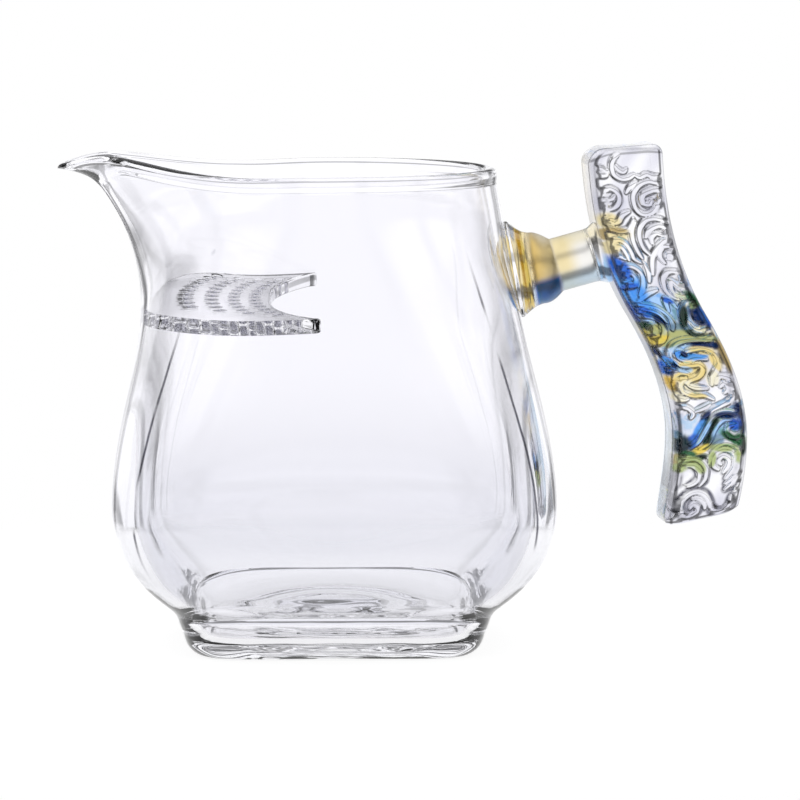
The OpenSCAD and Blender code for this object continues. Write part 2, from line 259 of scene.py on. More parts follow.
def grid_mesh(name, rings, low, high):
    """Closed mesh of rings of points, each end closed by a fan of triangles."""
    m, n = rings.shape[:2]
    points = np.vstack([rings.reshape(-1, 3), [low], [high]]) * MM
    i, j = np.meshgrid(np.arange(m - 1), np.arange(n), indexing="ij")
    k = (j + 1) % n
    quads = np.stack([i * n + j, i * n + k, (i + 1) * n + k, (i + 1) * n + j], -1).reshape(-1, 4)
    fans = [[(j + 1) % n, j, m * n] for j in range(n)]
    fans += [[(m - 1) * n + j, (m - 1) * n + (j + 1) % n, m * n + 1] for j in range(n)]
    mesh = bpy.data.meshes.new(name)
    mesh.from_pydata(points.tolist(), [], quads.tolist() + fans)
    mesh.update()
    return place_mesh(name, mesh)


def levels_of(base, radius):
    """Levels of the rings: close together in the rounded edge at the base and below the rim."""
    round_edge = base + radius * (1 - np.cos(np.radians(np.linspace(0, 90, 10))))
    foot_shade = np.linspace(base + radius, foot_h + 4, 18)[1:]
    side = np.linspace(foot_h + 4, bead_z - 3, 74)[1:]
    rim = bead_z - 3 * np.linspace(0.9, 0, 9) ** 2
    return np.concatenate([round_edge, foot_shade, side, rim])


# the rings' points stand closer together towards the spout
around = 320
spread = 2 * np.arange(around) / around - 1
theta = 180 + np.sign(spread) * 180 * np.abs(spread) ** 1.15
z, th = np.meshgrid(levels_of(0, foot_r), theta, indexing="ij")
rolled = bead_roll * smooth(z, 90.2, 91.1) * (1 - bell(np.abs(180 - th), 25))
wave = foot_wave * smooth(z, 1.5, 4) * (1 - smooth(z, 8, 13)) * np.sin(np.radians(9 * th)) * np.sin(1.1 * z)
outside = polar(skin(z, th) - edge_inset(z, foot_r) + rolled - np.abs(wave), th, z + lift(z, th))
clear_of = polar(skin(z, th) + 0.03, th, z + lift(z, th))

z, th = np.meshgrid(levels_of(floor_t, floor_r)[::-1], theta, indexing="ij")
rolled = bead_roll * smooth(z, 90.2, 91.1)
wave = np.sin(np.radians(th * 5 + 60 * np.sin(np.radians(th * 2)))) * np.sin(z / 3.1 + 1.3)
wave = inner_wave * (1 - smooth(z, 8, 40)) * wave
inside = polar(skin(z, th) - wall_at(z, th) - rolled - wave - edge_inset(z - floor_t, floor_r), th,
               z + lift(z, th))

a, th = np.meshgrid(np.linspace(0, 180, 15)[1:-1], theta, indexing="ij")
z = bead_z + 0 * th
outer = skin(z, th) + bead_roll * (1 - bell(np.abs(180 - th), 25))
inner = skin(z, th) - wall_at(z, th) - bead_roll
bead = polar((outer + inner) / 2 + (outer - inner) / 2 * np.cos(np.radians(a)), th,
             z + lift(z, th) + rim_r * np.sin(np.radians(a)))

# the floor keeps faint rings from its making
share, th = np.meshgrid(np.linspace(0.97, 0.03, 32), theta, indexing="ij")
swirl = floor_wave * np.sin(15 * share + 0.7 * np.sin(np.radians(2 * th + 50))) * (1 - share**8)
floor = polar(share * np.hypot(inside[-1, :, 0], inside[-1, :, 1]), th, floor_t + swirl)
vessel = grid_mesh("vessel", np.concatenate([outside, bead, inside, floor]), (0, 0, 0), (0, 0, floor_t))


def painted_corner_lines(place):
    """Painted shade: thin dark lines painted where the square wall turns its four corners, broken here and
    there.
    """
    x, y, z = place.parts()
    patchy = place.node("ShaderNodeTexNoise", {"Vector": place, "Scale": 90.0, "Detail": 1.0})
    off = (x.math("ABSOLUTE") - y.math("ABSOLUTE") + patchy * 0.0012 - 0.0006).math("ABSOLUTE")
    outer = place.node("ShaderNodeAttribute", {}, output="Fac", attribute_name="outer")
    top = 1 - (z - x.step(-0.01, 0.01) * 0.011).step(0.057, 0.069)
    return ((1 - off.step(0.0002, 0.0007)) * patchy.step(0.40, 0.52) * z.step(0.014, 0.026) * top
            * outer.step(0.9, 1.0) * (1 - y.step(-0.01, 0.01) * 0.8))


def glass(name, clear, cloudy, ripple_scale, ripple_depth, painted_lines=None):
    """Polished glass: a tint that drifts a little, a faint waviness, the colours and painted shade laid in it,
    and painted dark lines where they are given.
    """
    material, shader, start = new_material(name)
    shader.inputs["Transmission Weight"].default_value = 1
    shader.inputs["IOR"].default_value = 1.48
    place = start.node("ShaderNodeTexCoord", {}, output="Object")
    drift = place.node("ShaderNodeTexNoise", {"Vector": place, "Scale": 45.0, "Detail": 2.0})
    laid = start.node("ShaderNodeAttribute", {}, attribute_name="tint")
    dull = Field(laid.tree, laid.socket.node.outputs["Alpha"])
    colour = start.node("ShaderNodeMix", {0: 1.0, 6: drift.mix(clear, cloudy), 7: laid}, output=2,
                        data_type="RGBA", blend_type="MULTIPLY")
    if painted_lines:
        # painted shade: the dark lines are mixed into the glass colour
        colour = painted_lines(place).mix(colour, (0.02, 0.02, 0.03, 1))
    waves = place.node("ShaderNodeTexNoise", {"Vector": place, "Scale": ripple_scale, "Detail": 1.0})
    bump = waves.node("ShaderNodeBump", {"Height": waves, "Distance": ripple_depth, "Strength": 1.0})
    colour.feed(shader.inputs["Base Color"])
    (drift * 0.012 + dull).feed(shader.inputs["Roughness"])
    bump.feed(shader.inputs["Normal"])
    return material


blown_glass = glass("blown_glass", (0.968, 0.965, 0.986, 1), (0.955, 0.953, 0.974, 1), 60.0, 0.00004,
                    painted_lines=painted_corner_lines)


# Strainer: a pierced crescent of the same clear glass, fused to the inside of the wall below the spout, a
# little out of level. It is a flat plate with rounded edges, cut by its holes, tilted, and joined to the
# vessel's mesh, since the two are one piece of glass.
plate_z, plate_t, edge_x, bevel = 67.5, 2.7, -12.3, 0.5
pitch, roll = math.radians(2.8), math.radians(2.7)
spout_x, sunk, horn_w, edge_reach, edge_power = -35, 0.6, 2.2, 8.9, 2.8
horn_x = edge_x + 9.5
wall_level = plate_z + math.tan(pitch) * (spout_x - edge_x) - 1.4

# its outline runs along the middle of the wall, round one blunt horn, along the open edge, round the other
rim_th = np.linspace(0, 360, 241)[:-1]
in_wall = skin(np.full_like(rim_th, wall_level), rim_th) - wall * sunk
wall_side = [tuple(p) for p in polar(in_wall, rim_th, 0 * rim_th)[:, :2] if p[0] < horn_x - 0.6]
edge_y = abs(wall_side[0][1]) - horn_w
open_edge = [(edge_x + edge_reach * abs(y / edge_y) ** edge_power, y) for y in np.linspace(-edge_y, edge_y, 90)]
open_edge = [p for p in open_edge if p[0] < horn_x - 0.8]
near, far = open_edge[0][1], open_edge[-1][1]
near_horn = [(horn_x, wall_side[-1][1] + 0.8), (horn_x, near - 1.2), (horn_x - 0.25, near - 0.45)]
far_horn = [(horn_x - 0.25, far + 0.45), (horn_x, far + 1.2), (horn_x, wall_side[0][1] - 0.8)]
plate_side = wall_side + near_horn + open_edge + far_horn
plate_curve = bpy.data.curves.new("plate", "CURVE")
plate_curve.dimensions = "2D"
plate_curve.fill_mode = "BOTH"
plate_curve.extrude = (plate_t / 2 - bevel) * MM
plate_curve.bevel_depth = bevel * MM
plate_curve.bevel_resolution = 2
plate_curve.offset = -bevel * MM
spline = plate_curve.splines.new("POLY")
spline.points.add(len(plate_side) - 1)
for point, (x, y) in zip(spline.points, plate_side):
    point.co = (x * MM, y * MM, 0, 1)
spline.use_cyclic_u = True


def final_mesh(thing):
    """Plain mesh of an object as its modifiers leave it."""
    bpy.context.view_layer.update()
    return bpy.data.meshes.new_from_object(thing.evaluated_get(bpy.context.evaluated_depsgraph_get()))


def make_plain(thing, name):
    """A new object with the final mesh of another, which is removed."""
    mesh = final_mesh(thing)
    bpy.data.objects.remove(thing)
    return place_mesh(name, mesh)


def fuse(thing, operation, tool):
    """Join a closed mesh to another, or cut it by that, and keep one plain mesh."""
    modifier = thing.modifiers.new(operation.lower(), "BOOLEAN")
    modifier.operation = operation
    modifier.solver = "MANIFOLD"
    modifier.object = tool
    mesh = final_mesh(thing)
    thing.modifiers.clear()
    thing.data = mesh
    bpy.data.objects.remove(tool)
    mesh.materials.clear()
    mesh.polygons.foreach_set("material_index", [0] * len(mesh.polygons))
    mesh.polygons.foreach_set("use_smooth", [True] * len(mesh.polygons))
    mesh.set_sharp_from_angle(angle=math.radians(45))


def clean(mesh, rise=lambda at: 0.0):
    """Merge doubles, raise each point by a function of its place, and turn the faces outwards."""
    bm = bmesh.new()
    bm.from_mesh(mesh)
    bmesh.ops.remove_doubles(bm, verts=bm.verts, dist=1e-6)
    for vertex in bm.verts:
        vertex.co.z += rise(vertex.co)
    bmesh.ops.recalc_face_normals(bm, faces=bm.faces)
    bm.to_mesh(mesh)
    bm.free()


def tilt(at):
    return (plate_z - plate_t / 2) * MM + math.tan(pitch) * (at.x - edge_x * MM) + math.tan(roll) * at.y


plate = make_plain(place_mesh("plate_blank", plate_curve), "plate")
clean(plate.data)

# its holes: a Geometry Nodes tree stands a pin, flared at both faces, on each point of four curved rows,
# each of which has one hole fewer than the row before
hole_sizes = {"Hole radius": 1.0 * MM, "Hole pitch": 4.4 * MM, "Row bend": 66.0 * MM,
              "First row": (edge_x - 3.5) * MM, "Flare": 1.06 * bevel * MM,
              "Straight part": (plate_t - 2 * bevel) * MM, "Rows": 4, "Holes in a row": 13, "Sides": 24,
              "Glass": blown_glass}
socket_kinds = {int: "NodeSocketInt", float: "NodeSocketFloat", bpy.types.Material: "NodeSocketMaterial"}
tree = bpy.data.node_groups.new("strainer_holes", "GeometryNodeTree")
tree.interface.new_socket("Holes", in_out="OUTPUT", socket_type="NodeSocketGeometry")
for name, value in hole_sizes.items():
    tree.interface.new_socket(name, in_out="INPUT", socket_type=socket_kinds[type(value)])
given = tree.nodes.new("NodeGroupInput")
size = {name: Field(tree, given.outputs[name]) for name in hole_sizes}
start, in_row, rows = Field(tree), size["Holes in a row"], size["Rows"]
grid = start.node("GeometryNodeMeshGrid", {"Vertices X": in_row, "Vertices Y": rows})
number = start.node("GeometryNodeInputIndex", {})
row = number.math("MODULO", rows)
column = (number / rows).math("FLOOR")
turned = (column - (in_row - 1) / 2) * size["Hole pitch"] / size["Row bend"]
x = size["First row"] - row * size["Hole pitch"] + size["Row bend"] * (1 - turned.math("COSINE"))
spot = start.node("ShaderNodeCombineXYZ", {"X": x, "Y": size["Row bend"] * turned.math("SINE")})
points = start.node("GeometryNodeSetPosition", {"Geometry": grid, "Position": spot})
too_far = column.math("LESS_THAN", row)
points = start.node("GeometryNodeDeleteGeometry", {"Geometry": points, "Selection": too_far})
pin_steps = 7
pin = start.node("GeometryNodeMeshCylinder", {"Vertices": size["Sides"], "Side Segments": pin_steps,
                                              "Radius": 1.0, "Depth": 2.0})
x, y, z = start.node("GeometryNodeInputPosition", {}).parts()
bend = ((z.math("ABSOLUTE") * pin_steps - 1) / (pin_steps - 1)).math("MAXIMUM", 0.0) * (math.pi / 2)
radius = size["Hole radius"] + size["Flare"] * (1 - bend.math("COSINE"))
rise = z.math("SIGN") * (size["Straight part"] / 2 + size["Flare"] * bend.math("SINE"))
spot = start.node("ShaderNodeCombineXYZ", {"X": x * radius, "Y": y * radius, "Z": rise})
pin = start.node("GeometryNodeSetPosition", {"Geometry": pin, "Position": spot})
holes = start.node("GeometryNodeInstanceOnPoints", {"Points": points, "Instance": pin})
holes = start.node("GeometryNodeRealizeInstances", {"Geometry": holes})
holes = start.node("GeometryNodeSetMaterial", {"Geometry": holes, "Material": size["Glass"]})
holes.feed(tree.nodes.new("NodeGroupOutput").inputs["Holes"])
pins = place_mesh("pins", bpy.data.meshes.new("pins"))
modifier = pins.modifiers.new("holes", "NODES")
modifier.node_group = tree
for item in tree.interface.items_tree:
    if item.in_out == "INPUT":
        modifier[item.identifier] = hole_sizes[item.name]
pins = make_plain(pins, "holes")
clean(pins.data)


def points_of(mesh):
    flat = np.empty(len(mesh.vertices) * 3)
    mesh.vertices.foreach_get("co", flat)
    return flat.reshape(-1, 3) / MM


hole_walls = points_of(pins.data)
fuse(plate, "DIFFERENCE", pins)
clean(plate.data, tilt)
fuse(vessel, "UNION", plate)


def lay_tint(mesh, colours, dull):
    """Keep for each point a colour, which its glass multiplies its own tint by, and a roughness."""
    layer = mesh.attributes.new("tint", "FLOAT_COLOR", "POINT")
    layer.data.foreach_set("color", np.column_stack([colours, dull + np.zeros(len(colours))]).ravel())


def blend(base, colour, share):
    return base + (np.array(colour) - base) * share[:, None]


# painted shade: the glass is tinted darker downwards to just above the foot, standing in for the darker
# background seen through the lower wall; the hole walls get painted shade too, darker than the plate
low_painted_shade, hole_painted_shade = (0.82, 0.825, 0.845), (0.60, 0.60, 0.64)
at = points_of(vessel.data)
depth = (1 - smooth(at[:, 2], 6, 64)) * (0.3 + 0.7 * smooth(at[:, 2], 7, 14))
painted_shade = blend(np.ones((len(at), 3)), low_painted_shade, depth**1.6)
in_plate = np.flatnonzero((np.abs(at[:, 2] - plate_z) < 6) & (np.hypot(at[:, 0], at[:, 1]) < 36))
aside, along = (at[in_plate, k][:, None] - hole_walls[:, k] for k in range(2))
# painted shade on the hole walls: the points there take a darker tint
painted_shade[in_plate[np.hypot(aside, along).min(1) < 0.05]] = hole_painted_shade
lay_tint(vessel.data, painted_shade, 0.0)

# which points lie on the outer surface, where the painted dark corner lines show
level, turned = at[:, 2], np.degrees(np.arctan2(at[:, 1], at[:, 0])) % 360
inward = skin(level - lift(level, turned), turned) - np.hypot(at[:, 0], at[:, 1])
vessel.data.attributes.new("outer", "FLOAT", "POINT").data.foreach_set("value", (inward < 0.8).astype(float))
vessel.data.materials.append(blown_glass)

# the plate's two faces are flat, as shading them smooth would bend them at their long triangles
for face in vessel.data.polygons:
    x, y, z = face.center / MM
    inward = skin(np.array(plate_z), math.degrees(math.atan2(y, x))) - math.hypot(x, y)
    if abs(face.normal.z) > 0.97 and inward > wall and abs(z - plate_z) < 8:
        face.use_smooth = False

# the vessel is finished, with its strainer in it
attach(vessel, "root")
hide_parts("body", "strainer")


# Handle: the drawn boss and short round neck, and a cast bar that leans out in an S. Cloud scrolls are
# pressed into the bar's front, and amber, blue, green and gold glass is laid inside the clear glass. All
# of it is one piece of glass, fused to the wall: a grid of sections of the bar, joined to rings of the stem.
bar_w, bar_t, bar_r, back_r = 14.7, 14.0, 3.0, 1.2
end_r, back_end_r, crown_r = 1.8, 0.7, 3.6
bar_low, bar_top, bar_turn = 24.3, 97.2, math.radians(5)
bar_stations = [(bar_low, 71.4, 0.18), (40.0, 73.3, 0.0), (64.0, 65.3, -0.6), (bar_top, 56.4, -0.05)]
cord_h, cord_w = 0.62, 0.8

# each cord of the scrolls runs smoothly through points on the bar's front: offset, drop from its top
cords = [
    [(-4.1, 4.3), (-4.6, 5.3), (-5.5, 5.4), (-6.2, 4.8), (-6.0, 4.0), (-5.3, 4.0), (-5.0, 4.6)],
    [(-1.8, 1.2), (-2.9, 2.2), (-3.3, 3.8), (-2.9, 5.2), (-1.6, 6.1), (-0.2, 6.0), (1.0, 5.3)],
    [(-2.6, 3.4), (-2.1, 4.2), (-1.2, 4.8), (-0.4, 4.2)],
    [(1.3, 5.5), (2.2, 5.9), (3.4, 5.4), (4.8, 5.9), (6.2, 5.6)],
    [(5.8, 7.2), (3.6, 6.7), (1.5, 7.6), (0.3, 9.4), (0.4, 11.6), (1.6, 13.0), (3.4, 12.8), (4.8, 11.4),
     (5.8, 9.6), (5.4, 8.3), (3.8, 8.6), (2.2, 9.4), (2.2, 10.9), (3.3, 11.1), (3.9, 10.2)],
    [(-6.0, 8.1), (-5.6, 9.2), (-4.9, 8.3), (-3.9, 8.0), (-2.7, 8.8), (-2.5, 10.2), (-3.4, 11.5),
     (-4.5, 12.1)],
    [(-3.3, 9.3), (-3.9, 10.0), (-4.6, 10.2)],
    [(-1.0, 8.9), (-0.2, 7.9), (1.2, 6.9)],
    [(-7.0, 11.0), (-6.8, 12.5), (-5.9, 13.0), (-5.3, 12.2), (-5.2, 10.8)],
    [(-5.0, 14.1), (-4.2, 14.7), (-3.3, 14.3), (-2.4, 13.2), (-0.8, 12.4)],
    [(-7.1, 17.4), (-6.6, 16.0), (-5.2, 15.8), (-3.6, 16.3), (-1.9, 16.0), (-0.9, 15.0), (-0.3, 13.8)],
    [(0.0, 14.3), (-1.0, 15.8), (-1.4, 17.8), (-1.1, 20.0), (-0.6, 21.6)],
    [(5.9, 14.5), (4.1, 13.9), (2.1, 14.2), (0.6, 15.6), (0.0, 17.6), (0.3, 19.6), (1.2, 21.0)],
    [(1.2, 17.6), (2.0, 16.4), (3.6, 15.5), (5.1, 15.3), (5.7, 16.5), (5.2, 17.8), (4.2, 18.6), (2.8, 19.8),
     (1.6, 21.2), (0.9, 22.8), (0.3, 24.8)],
    [(2.3, 18.8), (2.4, 17.5), (3.4, 16.8), (4.2, 17.1)],
    [(-6.7, 21.6), (-6.3, 20.2), (-5.7, 18.7), (-4.3, 18.0), (-3.0, 18.7), (-2.4, 20.2), (-2.2, 21.6),
     (-1.2, 22.4)],
    [(-4.0, 21.7), (-4.8, 21.0), (-5.1, 20.0), (-4.5, 19.2), (-3.8, 19.6), (-3.4, 20.8), (-3.3, 22.0)],
    [(4.3, 21.7), (4.9, 20.8), (5.5, 21.1), (4.9, 21.9)],
    [(3.6, 22.6), (3.0, 21.0), (4.0, 19.4), (5.8, 19.2)],
    [(-5.3, 23.8), (-4.2, 23.1), (-2.8, 23.3), (-1.9, 24.3), (-2.0, 25.8), (-2.8, 27.4), (-4.0, 28.8)],
    [(-5.3, 25.7), (-4.5, 24.5), (-3.6, 24.6), (-3.3, 25.6), (-3.9, 26.6), (-5.2, 27.0), (-6.6, 27.4)],
    [(0.0, 27.6), (-1.8, 28.2), (-3.4, 29.0), (-4.6, 29.9)],
    [(-0.5, 22.6), (-0.4, 24.4), (-1.0, 26.2)],
    [(5.2, 24.2), (3.4, 24.3), (2.0, 25.6), (1.6, 27.4), (2.2, 29.0), (3.2, 29.6)],
    [(5.6, 24.8), (5.7, 26.4), (5.0, 27.5), (4.2, 27.0), (3.5, 26.1), (2.9, 27.0), (3.0, 28.4), (4.2, 29.0),
     (5.4, 28.6), (6.1, 27.2)],
    [(6.3, 28.9), (5.0, 29.9), (3.4, 31.0), (2.2, 32.6), (1.7, 34.4), (2.2, 36.2), (3.8, 36.9),
     (5.3, 36.2)],
    [(5.6, 30.6), (4.5, 31.2), (3.7, 32.4), (3.5, 33.8), (4.3, 34.6)],
    [(2.7, 34.0), (3.0, 35.3), (4.2, 35.7), (5.4, 34.9)],
    [(0.0, 32.0), (0.5, 29.8), (1.6, 30.0), (1.9, 31.2)],
    [(-5.6, 30.6), (-3.8, 30.7), (-2.0, 31.2), (-0.8, 32.4), (-0.6, 34.0), (-1.4, 35.6)],
    [(-4.8, 31.5), (-3.1, 31.8), (-2.0, 32.6), (-1.7, 34.0)],
    [(-6.0, 32.8), (-4.2, 33.0), (-3.0, 33.8), (-2.8, 35.0), (-3.4, 36.4), (-4.8, 37.7), (-6.3, 38.2),
     (-7.0, 37.2)],
    [(-4.9, 33.9), (-4.3, 34.9), (-5.2, 36.0), (-6.4, 36.3)],
    [(-4.4, 41.2), (-4.2, 39.8), (-2.8, 38.6), (-0.8, 37.8), (2.0, 37.5), (5.5, 37.5)],
    [(-1.0, 39.9), (0.8, 39.4), (2.8, 39.3), (4.4, 40.1), (4.6, 41.8), (3.6, 43.4), (2.2, 44.8),
     (1.6, 46.4)],
    [(-1.3, 40.5), (-1.9, 39.7), (-2.8, 40.1), (-2.8, 41.1), (-1.4, 41.6), (0.6, 41.1), (2.6, 41.3)],
    [(-4.0, 41.5), (-3.0, 42.5), (-1.2, 42.5), (0.6, 42.4), (0.8, 43.4), (-0.6, 44.7), (-2.2, 45.3),
     (-3.4, 46.1)],
    [(-6.8, 40.4), (-6.0, 41.8), (-5.0, 42.6), (-4.0, 43.4)],
    [(2.4, 46.2), (3.5, 44.8), (5.2, 45.0), (5.9, 46.4), (5.4, 48.3), (4.0, 49.6), (2.0, 50.5), (0.2, 51.3),
     (-1.6, 52.8)],
    [(3.1, 46.8), (4.1, 46.1), (4.4, 47.1), (3.6, 48.0)],
    [(-2.2, 44.3), (-3.8, 43.9), (-5.4, 44.7), (-6.5, 46.2), (-6.6, 48.0), (-5.4, 49.2), (-3.8, 49.0)],
    [(-2.9, 45.2), (-4.0, 45.5), (-4.7, 46.6), (-4.2, 47.8), (-2.6, 48.4), (-0.6, 48.3), (1.2, 49.2)],
    [(-3.1, 46.4), (-1.8, 46.9), (0.6, 47.0)],
    [(-2.9, 51.5), (-1.3, 50.9), (0.3, 50.0)],
    [(-5.9, 50.6), (-4.4, 50.8), (-3.5, 51.8), (-4.1, 52.9)],
    [(-4.6, 58.8), (-2.9, 57.4), (-1.7, 55.6), (-0.4, 53.6), (1.2, 52.2), (3.2, 51.7), (4.9, 52.1),
     (5.4, 53.3)],
    [(-2.6, 59.0), (-0.9, 57.6), (0.0, 55.8), (1.0, 54.2), (2.4, 53.2), (3.9, 53.2)],
    [(5.9, 50.4), (6.1, 52.6), (6.2, 54.6), (5.4, 56.2), (4.0, 56.5), (2.9, 55.6), (3.2, 54.5),
     (4.3, 54.2)],
    [(-5.2, 60.3), (-3.2, 59.9), (-1.3, 59.9), (-0.5, 60.9)],
    [(-0.4, 61.8), (-0.3, 59.9), (1.0, 58.3), (2.8, 57.8), (4.7, 58.7), (5.7, 60.6), (5.5, 62.6),
     (4.6, 64.4),
     (3.2, 65.8)],
    [(1.6, 63.0), (0.4, 61.9), (0.6, 60.1), (2.1, 59.1), (3.8, 59.5), (4.6, 61.0), (4.3, 62.8),
     (3.1, 64.8)],
    [(2.0, 62.0), (1.3, 61.2), (2.1, 60.3), (3.2, 60.8), (3.4, 62.0), (2.6, 63.6)],
    [(-6.2, 61.4), (-4.2, 60.8), (-2.4, 61.1), (-1.1, 62.5), (-0.9, 64.4), (-1.8, 66.1)],
    [(-4.8, 62.1), (-3.4, 62.2), (-2.3, 63.2), (-2.2, 64.6), (-3.0, 65.6), (-4.2, 66.1)],
    [(-6.3, 63.4), (-6.4, 65.0), (-6.6, 66.8)],
    [(6.4, 64.0), (4.9, 65.2), (3.3, 67.0)],
    [(6.4, 65.8), (5.4, 67.2)],
    [(1.4, 71.0), (0.6, 69.4), (-0.4, 68.0), (-2.0, 67.3), (-3.8, 67.8), (-5.0, 69.4), (-4.6, 71.1),
     (-3.2, 71.9),
     (-1.7, 71.3), (-1.5, 70.1), (-2.4, 69.5), (-3.0, 70.3)],
    [(-2.9, 68.4), (-1.6, 68.5), (-0.5, 69.3), (0.1, 70.6)],
    [(4.7, 68.0), (4.9, 69.7), (4.1, 71.0), (2.8, 71.4), (1.6, 70.8), (0.8, 69.4)]]


def bar_x(z):
    return curve_through(z, bar_stations)


def smooth_path(points, steps=7):
    """Points of a smooth curve through the given points."""
    p = np.array([points[0]] + points + [points[-1]], float)
    t = np.linspace(0, 1, steps, endpoint=False)[:, None]
    runs = [0.5 * (2 * b + (c - a) * t + (2 * a - 5 * b + 4 * c - d) * t**2
                   + (3 * b - a - 3 * c + d) * t**3)
            for a, b, c, d in zip(p, p[1:], p[2:], p[3:])]
    return np.concatenate(runs + [p[-1:]])


def relief(across, drop, width=cord_w):
    """Height, from 0 to 1, of the scrolls' cords: rounded, steep at the foot, tapered at both ends."""
    out = np.zeros_like(across)
    for points in cords:
        path = smooth_path(points)
        run = np.concatenate([[0], np.cumsum(np.hypot(*np.diff(path, axis=0).T))])
        taper = width * (0.5 + 0.5 * np.sqrt(np.clip(np.minimum(run, run[-1] - run) / 1.6, 0, 1)))
        near = ((across > path[:, 0].min() - 1) & (across < path[:, 0].max() + 1)
                & (drop > path[:, 1].min() - 1) & (drop < path[:, 1].max() + 1))
        u, v, best = across[near], drop[near], out[near]
        for (x0, y0), (x1, y1), w0, w1 in zip(path, path[1:], taper, taper[1:]):
            dx, dy = x1 - x0, y1 - y0
            t = np.clip(((u - x0) * dx + (v - y0) * dy) / (dx * dx + dy * dy + 1e-9), 0, 1)
            d = np.hypot(u - x0 - t * dx, v - y0 - t * dy) / (w0 + (w1 - w0) * t)
            best = np.maximum(best, (1 - np.minimum(d, 1) ** 2.2) * (w0 / width))
        out[near] = best
    return out


# outline of the bar's section, as across, depth, and how much the point faces the front
half_w, half_t = bar_w / 2, bar_t / 2
front_n, back_n, side_n, corner_n = 112, 18, 10, 8
outline = []
corners = [(half_w - r, half_t - r, r) for r in (back_r, back_r, bar_r, bar_r)]
for q, steps in enumerate((back_n, side_n, front_n, side_n)):
    sx, sy = (1 if q in (0, 3) else -1), (1 if q < 2 else -1)
    w, t, r = corners[q]
    for a in np.radians(np.linspace(q * 90, q * 90 + 90, corner_n + 1)):
        outline.append((sx * w + r * math.cos(a), sy * t + r * math.sin(a), max(0, -math.sin(a)) ** 4))
    next_w, next_t, next_r = corners[(q + 1) % 4]
    for f in np.linspace(0, 1, steps)[1:-1]:
        if q % 2 == 0:
            outline.append((sx * (w - (w + next_w) * f), sy * half_t, q / 2))
        else:
            outline.append((sx * half_w, sy * (t - (t + next_t) * f), 0))
outline = np.array(outline)
ends = end_r * (1 - np.cos(np.radians(np.linspace(0, 90, 9))))
levels = np.concatenate([bar_low + ends, np.linspace(bar_low + end_r, bar_top - end_r, 450)[1:-1],
                         bar_top - ends[::-1]])
z, px = np.meshgrid(levels, outline[:, 0], indexing="ij")
py, front = outline[:, 1] + 0 * z, outline[:, 2] + 0 * z
end = np.minimum(z - bar_low, bar_top - z)
inset = edge_inset(end, end_r)
flat = np.clip((half_w - np.abs(px)) / 1.6, 0, 1) * np.clip(end / end_r, 0, 1)
raised = cord_h * flat * front * relief(px, bar_top - z)
crown = edge_inset(bar_top - z, crown_r) - edge_inset(bar_top - z, end_r)
px = px * (1 - 2 * inset / bar_w) + crown * smooth(-px, 0, half_w)
py = py * (1 - 2 * np.where(py > 0, edge_inset(end, back_end_r), inset) / bar_t) - raised
low_slant, top_slant, slant_run = 0.22, 0.08, 10
slant = (low_slant * np.clip(1 - (z - bar_low) / slant_run, 0, 1) ** 2
         + top_slant * np.clip(1 - (bar_top - z) / slant_run, 0, 1) ** 2)
bar_rings = np.stack([bar_x(z) + px * math.cos(bar_turn) - py * math.sin(bar_turn),
                      px * math.sin(bar_turn) + py * math.cos(bar_turn), z + px * slant], -1)
handle = grid_mesh("bar_handle", bar_rings, (71.4, 0, bar_low), (56.4, 0, bar_top))

# the stem: tilted rings from inside the wall, along the boss to the weld, and along the neck into the bar
weld_x, weld_z, neck_tilt, wall_tilt, neck_r = 43.6, 73.8, 15.5, 10.5, 5.25
boss_run, boss_fall, boss_swell, flange_swell, boss_mid = 7.9, 0.8, 1.8, 2.4, 0.45
t = np.concatenate([np.linspace(1.14, 0.02, 56), [0]])
boss_r = (5.3 + boss_swell * np.sin(np.pi / 2 * np.clip(t / boss_mid, 0, 1))
          + flange_swell * (1 - np.cos(np.pi / 2 * np.clip((t - boss_mid) / (1 - boss_mid), 0, 1))))
boss_tilt = np.radians(neck_tilt + (wall_tilt - neck_tilt) * t)
boss_x, boss_z = weld_x - boss_run * t, weld_z - boss_fall * (1 - (1 - np.minimum(t, 1)) ** 2)
d = np.linspace(0.25, 17, 60)
slope = math.radians(neck_tilt)
side_d = (bar_x(np.array(77.0)) - half_w - weld_x) / math.cos(slope)
stem_r = np.concatenate([boss_r, neck_r + 0.9 * bell(np.minimum(d - side_d - 0.4, 0), 1.3)])
stem_tilt = np.concatenate([boss_tilt, slope + 0 * d])
stem_x = np.concatenate([boss_x, weld_x + d * math.cos(slope)])
stem_z = np.concatenate([boss_z, weld_z + d * math.sin(slope)])
a = np.radians(np.arange(0, 360, 2.5))[None, :]
r, lean = stem_r[:, None], stem_tilt[:, None]
stem_rings = np.stack([stem_x[:, None] - r * np.sin(a) * np.sin(lean), r * np.cos(a),
                       stem_z[:, None] + r * np.sin(a) * np.cos(lean)], -1)
stem = grid_mesh("stem", stem_rings, (stem_x[0], 0, stem_z[0]), (stem_x[-1], 0, stem_z[-1]))
vessel_room = grid_mesh("vessel_room", clear_of, (0, 0, 0), (0, 0, bead_z))
fuse(handle, "UNION", stem)
fuse(handle, "DIFFERENCE", vessel_room)

